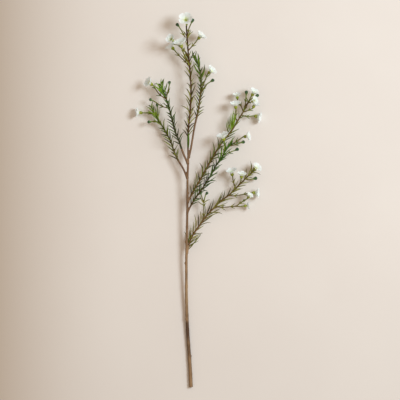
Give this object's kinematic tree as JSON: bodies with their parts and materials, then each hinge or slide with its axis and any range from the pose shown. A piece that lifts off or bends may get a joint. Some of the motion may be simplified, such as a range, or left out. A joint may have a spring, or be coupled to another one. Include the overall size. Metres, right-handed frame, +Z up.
{
  "type": "waxflower stem",
  "caption": "Cut waxflower stem laid down: brown woody stem, slender leafy side shoots with needle leaves, small white blooms and closed buds",
  "frame": {"origin": "middle of the flat strip under the stem near its cut end, on the surface the stem lies on", "axes": "+Z up from the surface, +Y along the stem from its cut end to its top bloom, +X to the side with the long lower shoots"},
  "size_m": [0.237, 0.7001, 0.0529],
  "materials": {
    "bark": "dry brown bark with faint ridges",
    "centre_green": "soft waxy green leaf",
    "upper_right_green": "soft waxy green leaf",
    "upper_left_green": "soft waxy green leaf",
    "lower_left_green": "soft waxy green leaf",
    "long_right_green": "soft waxy green leaf",
    "mid_right_green": "soft waxy green leaf",
    "lower_right_green": "soft waxy green leaf",
    "petal": "thin waxy white petal"
  },
  "bodies": {
    "root": {"woody_stem": "bark", "leafy_shoot_centre": "centre_green", "leafy_shoot_upper_right": "upper_right_green", "leafy_shoot_upper_left": "upper_left_green", "leafy_shoot_lower_left": "lower_left_green", "leafy_shoot_long_right": "long_right_green", "leafy_shoot_mid_right": "mid_right_green", "leafy_shoot_lower_right": "lower_right_green", "bloom_centre_1": "petal", "bloom_centre_2": "petal", "bloom_centre_3": "petal", "bloom_centre_4": "petal", "bloom_centre_5": "petal", "bloom_upper_right_1": "petal", "bloom_upper_left_1": "petal", "bloom_lower_left_1": "petal", "bloom_long_right_1": "petal", "bloom_long_right_2": "petal", "bloom_long_right_3": "petal", "bloom_long_right_4": "petal", "bloom_long_right_5": "petal", "bloom_long_right_6": "petal", "bloom_mid_right_1": "petal", "bloom_mid_right_2": "petal", "bloom_lower_right_1": "petal", "bloom_lower_right_2": "petal", "bloom_lower_right_3": "petal", "bloom_lower_right_4": "petal", "bloom_lower_right_5": "petal", "bloom_lower_right_6": "petal"}
  },
  "joints": []
}
